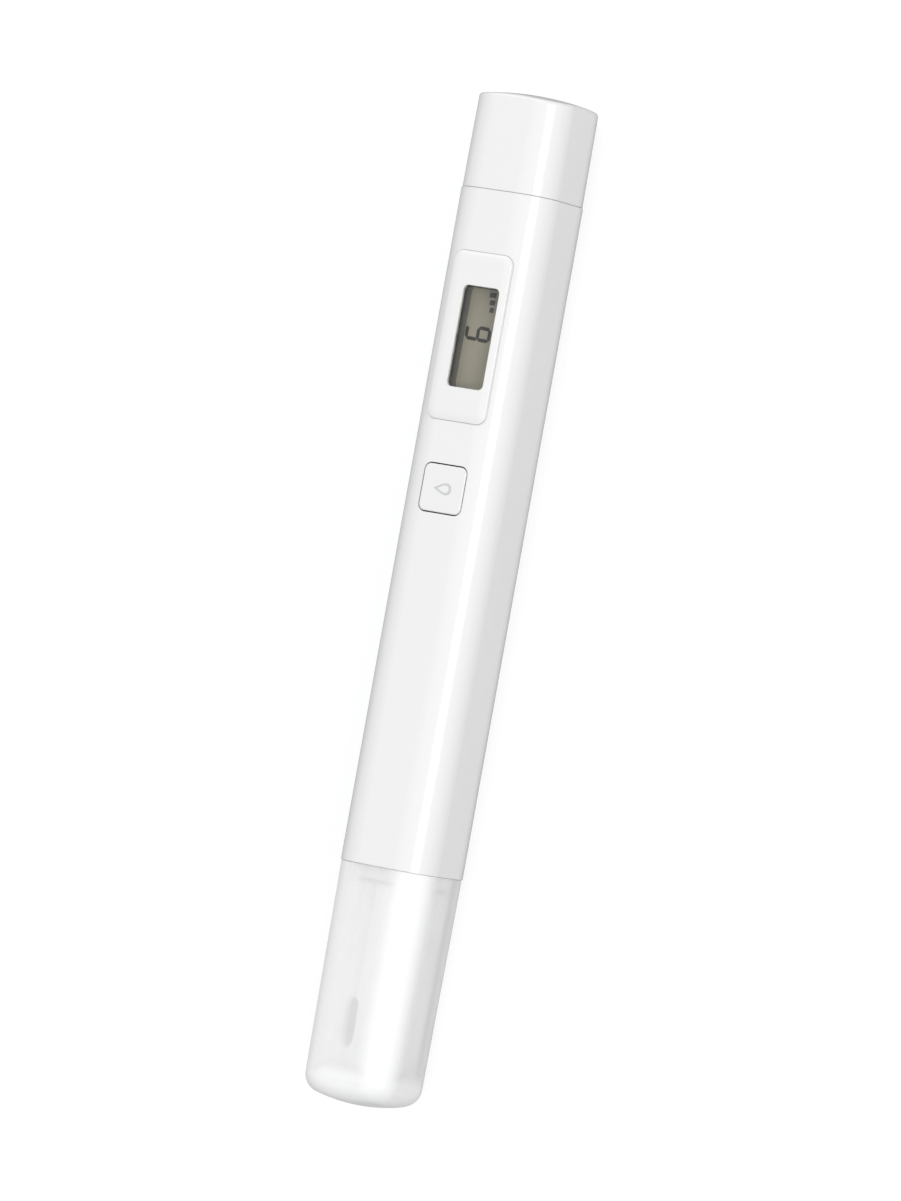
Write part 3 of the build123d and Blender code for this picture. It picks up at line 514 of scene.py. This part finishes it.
def makeFinishes():
    # material by CAD node
    shell = mouldedWhite("glossyShell", (seamBattery, seamProbe))
    cell = cellMetal("nickelCell")
    wires = (1400, 60, 60)
    steel = plated("springSteel", (0.66, 0.66, 0.65), (0.50, 0.47, 0.42), 0.24, (70, 1300, 1300))
    zinc = plated("zincScrew", (0.58, 0.59, 0.61), (0.50, 0.46, 0.38), 0.30, (900, 900, 900))
    pin = plated("titaniumPin", (0.46, 0.45, 0.44), (0.40, 0.36, 0.30), 0.34, wires, 0.0012)
    tube = plated("sensorSteel", (0.68, 0.68, 0.68), (0.56, 0.54, 0.50), 0.16, wires)
    crystal = plated("crystalCan", (0.72, 0.70, 0.66), (0.60, 0.56, 0.48), 0.22, (60, 1200, 1200))
    black = natural("blackMoulding", (0.018, 0.018, 0.019), (0.03, 0.03, 0.032), 0.42, 0.1, 0.004)
    glass = clearPane("panelGlass", (0.93, 0.96, 0.93), 0.03, 1.5)
    glands = rubber("orangeRubber", (0.62, 0.17, 0.05))
    table = {
        "body_shell": shell, "battery_cap": mouldedWhite("glossyCap", (seamBattery,)),
        "display_bezel": mouldedWhite("glossyFitting"),
        "button_key": mouldedWhite("glossyKey", tint=0.995), "probe_cap": frosted("frostedCap"),
        "display_window": clearPane("clearLens", (0.965, 0.975, 0.97), 0.012, 1.46),
        # the panel's frame has painted shade in its colour
        "lcd_frame": paintedShadeFrame("frameWithPaintedShade"),
        "lcd_front_polariser": displayFilm("displayFilm"), "lcd_front_glass": glass, "lcd_rear_glass": glass,
        "lcd_reflector": natural("reflectorFilm", (0.42, 0.40, 0.33), (0.36, 0.34, 0.28), 0.3, 0.08, 0.002),
        "lcd_backing_pad": foam("darkFoam"), "zebra_strips": stripedRubber("zebraRubber", 0.18 * millimetre),
        "button_gasket": rubber("greyRubber", (0.10, 0.105, 0.11)), "switch_body": black,
        "switch_plunger": black, "switch_cover_plate": steel, "switch_terminals": steel,
        "circuit_board": solderMask("solderMask"),
        "controller_chip": natural("epoxyChip", (0.012, 0.012, 0.013), (0.02, 0.02, 0.021), 0.36, 0.2, 0.006),
        "clock_crystal": crystal, "board_screws": zinc, "frame_screws": zinc,
        "chip_capacitors": tippedChip("tanCapacitor", "chip_capacitors", (0.34, 0.22, 0.12), 1.6, 0.3),
        "chip_resistors": tippedChip("blackResistor", "chip_resistors", (0.02, 0.02, 0.02), 1.0, 0.2),
        "inner_carrier": natural(
            "carrierMoulding", (0.60, 0.60, 0.575), (0.52, 0.52, 0.50), 0.45, 0.2, 0.004,
        ),
        "battery_frame": natural(
            "frameMoulding", (0.74, 0.74, 0.725), (0.67, 0.67, 0.65), 0.38, 0.22, 0.003,
        ),
        "positive_contact": steel, "negative_contact": steel,
        # the housing's colour carries painted shade and painted shadow
        "probe_housing": natural(
            "housingMoulding", (0.88, 0.885, 0.875), (0.84, 0.845, 0.835), 0.34, 0.25, 0.003,
            marks=housingPaintedShade,
        ),
        "probe_potting": natural(
            "castResin", (0.008, 0.008, 0.009), (0.014, 0.014, 0.015), 0.14, 1.4, 0.01, sheen=0.5,
        ),
        "housing_seal": glands, "left_pin_gland": glands, "right_pin_gland": glands,
        "left_electrode_pin": pin, "right_electrode_pin": pin, "temperature_sensor": tube,
    }
    for level in ("lower", "upper"):
        seal = natural(f"{level}CellSeal", (0.05, 0.05, 0.055), (0.08, 0.08, 0.085), 0.5, 0.1, 0.003)
        table[f"{level}_cell_can"] = table[f"{level}_cell_lid"] = cell
        table[f"{level}_cell_seal"] = seal
        table[f"{level}_cell_core"] = powder(f"{level}CellCore")
    for node, colour in leadColours.items():
        table[node] = rubber(node.title().replace("_", "") + "Sleeve", colour, 0.34, 0.3)
    return table


finishes = makeFinishes()
for node, material in finishes.items():
    nodes[node].data.materials.clear()
    nodes[node].data.materials.append(material)
for node in ("display_window", "lcd_front_glass", "lcd_rear_glass", "probe_cap"):
    nodes[node].visible_shadow = False
print("finishes:", len(finishes), "of", len(nodes), "nodes")


# New pieces

def plateMesh(outlines, low, high):
    # Each outline is a closed loop of points on the face; it is carried straight up from low to high and
    # closed with a flat top and bottom.
    points, faces, start = [], [], 0
    for outline in outlines:
        count = len(outline)
        ring = np.arange(count)
        points.append(np.column_stack([outline, np.full(count, low)]))
        points.append(np.column_stack([outline, np.full(count, high)]))
        faces.append((start + ring[::-1]).tolist())
        faces.append((start + count + ring).tolist())
        following = np.roll(ring, -1)
        sides = np.column_stack([ring, following, following + count, ring + count]) + start
        faces.extend(sides.tolist())
        start += 2 * count
    return np.vstack(points), faces


def addPiece(name, points, faces, body, material):
    mesh = bpy.data.meshes.new(name)
    mesh.from_pydata(points.tolist(), [], faces)
    mesh.validate()
    mesh.materials.append(material)
    piece = bpy.data.objects.new(name, mesh)
    bpy.context.scene.collection.objects.link(piece)
    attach(piece, body)


# Sizes of the new pieces are in millimetres.

digitShape = {
    "width": 2.32, "height": 4.4, "bar": 0.54, "gap": 0.02, "lean": 0.05, "thick": 0.012,
    "shiftX": 0.78, "shiftY": 0.67, "lit": "afgedc",
}


def segmentOutline(start, end, bar, gap):
    # a bar between two points, pointed at both ends: six corners, in order round it
    start, end = np.array(start), np.array(end)
    along = (end - start) / np.linalg.norm(end - start)
    across = np.array([-along[1], along[0]]) * bar / 2
    tip, foot = start + along * gap, end - along * gap
    inner, outer = tip + along * bar / 2, foot - along * bar / 2
    return np.array([tip, inner - across, outer - across, foot, outer + across, inner + across])


def digitOutlines(shape):
    # the lit ones of a digit's seven bars in its own reading frame: right is the pen's +X, up is +Y
    right, top = shape["width"] / 2 - shape["bar"] / 2, shape["height"] / 2 - shape["bar"] / 2
    ends = {
        "a": ((-right, top), (right, top)), "b": ((right, 0), (right, top)), "c": ((right, -top), (right, 0)),
        "d": ((-right, -top), (right, -top)), "e": ((-right, -top), (-right, 0)),
        "f": ((-right, 0), (-right, top)), "g": ((-right, 0), (right, 0)),
    }
    outlines = []
    for letter in shape["lit"]:
        outline = segmentOutline(*ends[letter], shape["bar"], shape["gap"])
        outline[:, 0] += outline[:, 1] * shape["lean"]
        outlines.append(outline)
    return outlines


def makeDigit(shape):
    middle = displayPlace["middle"]
    origin = np.array([middle.x, middle.y]) + np.array([shape["shiftX"], shape["shiftY"]]) * millimetre
    outlines = [origin + outline * millimetre for outline in digitOutlines(shape)]
    low = displayPlace["surface"]
    points, faces = plateMesh(outlines, low, low + shape["thick"] * millimetre)
    ink = printed("segmentInk", (0.007, 0.007, 0.006), 0.45)
    addPiece("displayDigit", points, faces, "pen_body", ink)


levelShape = {
    "count": 3, "width": 0.74, "pitch": 1.12, "low": 0.7, "rise": 0.2, "shiftX": 4.1, "foot": -2.02,
    "thick": 0.012,
}


def makeLevelMark(shape):
    # three bars side by side, each a little taller than the last
    middle = displayPlace["middle"]
    foot = shape["foot"]
    outlines = []
    for k in range(shape["count"]):
        left = shape["shiftX"] + k * shape["pitch"]
        right = left + shape["width"]
        top = foot + shape["low"] + k * shape["rise"]
        corners = np.array([[left, foot], [right, foot], [right, top], [left, top]])
        outlines.append(np.array([middle.x, 0]) + corners * millimetre)
    low = displayPlace["surface"]
    points, faces = plateMesh(outlines, low, low + shape["thick"] * millimetre)
    ink = printed("levelInk", (0.030, 0.029, 0.024), 0.45)
    addPiece("displayLevelMark", points, faces, "pen_body", ink)


dropShape = {
    "radius": 0.95, "height": 3.1, "swell": 1.30, "taper": 1.4, "line": 0.36, "settle": 0.35, "thick": 0.008,
    "points": 56,
}


def dropOutline(shape):
    # A water drop: round below, and above it two sides that narrow to a point. At the angle t from the point,
    # the half-width is radius * swell * sin t * sin(t / 2) ** taper, and the height is half the drop's height
    # times cos t.
    t = np.linspace(0, 2 * np.pi, shape["points"], endpoint=False)
    wide = np.abs(np.sin(t / 2)) ** shape["taper"] * np.sin(t) * shape["radius"] * shape["swell"]
    tall = np.cos(t) * shape["height"] / 2
    return np.column_stack([wide, tall])


def makeDropMark(shape):
    # the drop as a line: the walls and faces between its outline and a smaller copy, set a little lower
    key = middleOf("button_key")
    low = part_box("button_key")[1].z
    outer = dropOutline(shape)
    inner = outer * (1 - shape["line"] / shape["radius"])
    inner[:, 1] -= shape["line"] * shape["settle"]
    count = len(outer)
    rings = [
        np.column_stack([ring * millimetre + np.array([key.x, key.y]), np.full(count, height)])
        for ring in (outer, inner) for height in (low, low + shape["thick"] * millimetre)
    ]
    points = np.vstack(rings)
    ring = np.arange(count)
    following = np.roll(ring, -1)
    lowOuter, topOuter, lowInner, topInner = 0, count, 2 * count, 3 * count
    walls = [(topOuter, topInner), (lowInner, lowOuter), (lowOuter, topOuter), (topInner, lowInner)]
    faces = np.vstack([np.column_stack([ring + a, ring + b, following + b, following + a]) for a, b in walls])
    ink = printed("greyPrint", (0.54, 0.55, 0.55), 0.35)
    addPiece("keyDropMark", points, faces.tolist(), "button", ink)


makeDigit(digitShape)
makeLevelMark(levelShape)
makeDropMark(dropShape)
print("pieces: display digit, level mark and key mark")


# Stage, light and camera

stageLook = {
    "floorSize": 6.0, "floorDrop": 0.02 * millimetre, "floorColour": (0.30, 0.30, 0.30), "floorShade": 0.97,
    "glow": (0.75, 0.752, 0.758), "bounce": (0.08, 0.08, 0.081),
    "world": (0.985, 0.99, 1.0), "worldStrength": 0.72,
}


def makeStage(look):
    half = look["floorSize"] / 2
    finish = Finish("paleFloor")
    cloud = finish.noise(900, 2)
    colour = finish.mix(cloud, look["floorColour"], times(look["floorColour"], look["floorShade"]))
    seen = finish.add("ShaderNodeLightPath", output="Is Camera Ray")
    glow = finish.mix(seen, look["bounce"], look["glow"])  # a lit table: bright to look at, dimmer as a lamp
    finish.set(baseColor=colour, roughness=0.85, emissionColor=glow, emissionStrength=1.0)
    mesh = bpy.data.meshes.new("floor")
    drop = -look["floorDrop"]
    corners = [(-half, -half, drop), (half, -half, drop), (half, half, drop), (-half, half, drop)]
    mesh.from_pydata(corners, [], [(0, 1, 2, 3)])
    mesh.materials.append(finish.material)
    floor = bpy.data.objects.new("floor", mesh)
    bpy.context.scene.collection.objects.link(floor)
    world = bpy.data.worlds.new("paleRoom")
    world.use_nodes = True
    ground = world.node_tree.nodes["Background"]
    ground.inputs["Color"].default_value = (*look["world"], 1)
    ground.inputs["Strength"].default_value = look["worldStrength"]
    bpy.context.scene.world = world


lamps = {
    # fromTop: degrees from straight up, towards the pen's right (+) or left (-)
    # forward: degrees towards the battery end
    # bright: the lamp's radiance; shine: whether glossy surfaces show the lamp
    "strip": {
        "fromTop": 48.5, "forward": 0, "away": 1.0,
        "width": 0.44, "length": 0.5, "bright": 4.0, "shine": True,
    },
    "side": {
        "fromTop": 66, "forward": 0, "away": 1.2,
        "width": 0.8, "length": 1.4, "bright": 0.62, "shine": False,
    },
    "sky": {
        "fromTop": -30, "forward": 48, "away": 1.6,
        "width": 1.6, "length": 1.2, "bright": 1.0, "shine": True,
    },
}


def squareTo(direction):
    # the pen's own direction, less its part along the given one, brought to length 1
    return (Vector((1, 0, 0)) - direction * direction.x).normalized()


def makeLamps(table):
    target = Vector((0, 0, axisHeight))
    for name, lamp in table.items():
        side, ahead = math.radians(lamp["fromTop"]), math.radians(lamp["forward"])
        reach = math.cos(ahead)
        towards = Vector((math.sin(ahead), -math.sin(side) * reach, math.cos(side) * reach))
        light = bpy.data.lights.new(name, "AREA")
        light.shape = "RECTANGLE"
        light.size, light.size_y = lamp["length"], lamp["width"]
        light.energy = lamp["bright"] * math.pi * lamp["length"] * lamp["width"]
        holder = bpy.data.objects.new(name, light)
        along = squareTo(towards)
        holder.matrix_world = Matrix((along, towards.cross(along), towards)).transposed().to_4x4()
        holder.location = target + towards * lamp["away"]
        holder.visible_glossy = lamp["shine"]
        bpy.context.scene.collection.objects.link(holder)


viewpoint = {
    "turn": 29.7,  # degrees from straight above the display, towards the pen's right
    "lean": 10.18,  # degrees that the pen leans in the picture
    "pitch": 0.5,  # degrees towards the probe end
    "away": 1.2,  # metres
    "covers": 0.1781,  # metres of height that the picture holds at the pen
    "aside": (0.07 * millimetre, 0.06 * millimetre),  # how far past the middle it aims, along and across
    "sensor": 36.0, "clip": (0.01, 50.0),
}


def makeCamera(view):
    turn, lean, pitch = (math.radians(view[key]) for key in ("turn", "lean", "pitch"))
    middle = Vector(((cadBox[0].x + cadBox[1].x) / 2, 0, axisHeight))
    back = Vector((-math.sin(pitch), -math.sin(turn) * math.cos(pitch), math.cos(turn) * math.cos(pitch)))
    along = squareTo(back)
    across = along.cross(back)
    target = middle + along * view["aside"][0] + across * view["aside"][1]
    up = along * math.cos(lean) - across * math.sin(lean)
    right = along * math.sin(lean) + across * math.cos(lean)
    lens = bpy.data.cameras.new("camera")
    lens.sensor_width = view["sensor"]
    lens.lens = view["sensor"] * view["away"] / view["covers"]
    lens.clip_start, lens.clip_end = view["clip"]
    camera = bpy.data.objects.new("camera", lens)
    camera.matrix_world = Matrix((right, up, back)).transposed().to_4x4()
    camera.location = target + back * view["away"]
    bpy.context.scene.collection.objects.link(camera)
    bpy.context.scene.camera = camera


makeStage(stageLook)
makeLamps(lamps)
makeCamera(viewpoint)
bpy.context.scene.view_settings.view_transform = "Standard"
print("stage, lamps and camera are set")
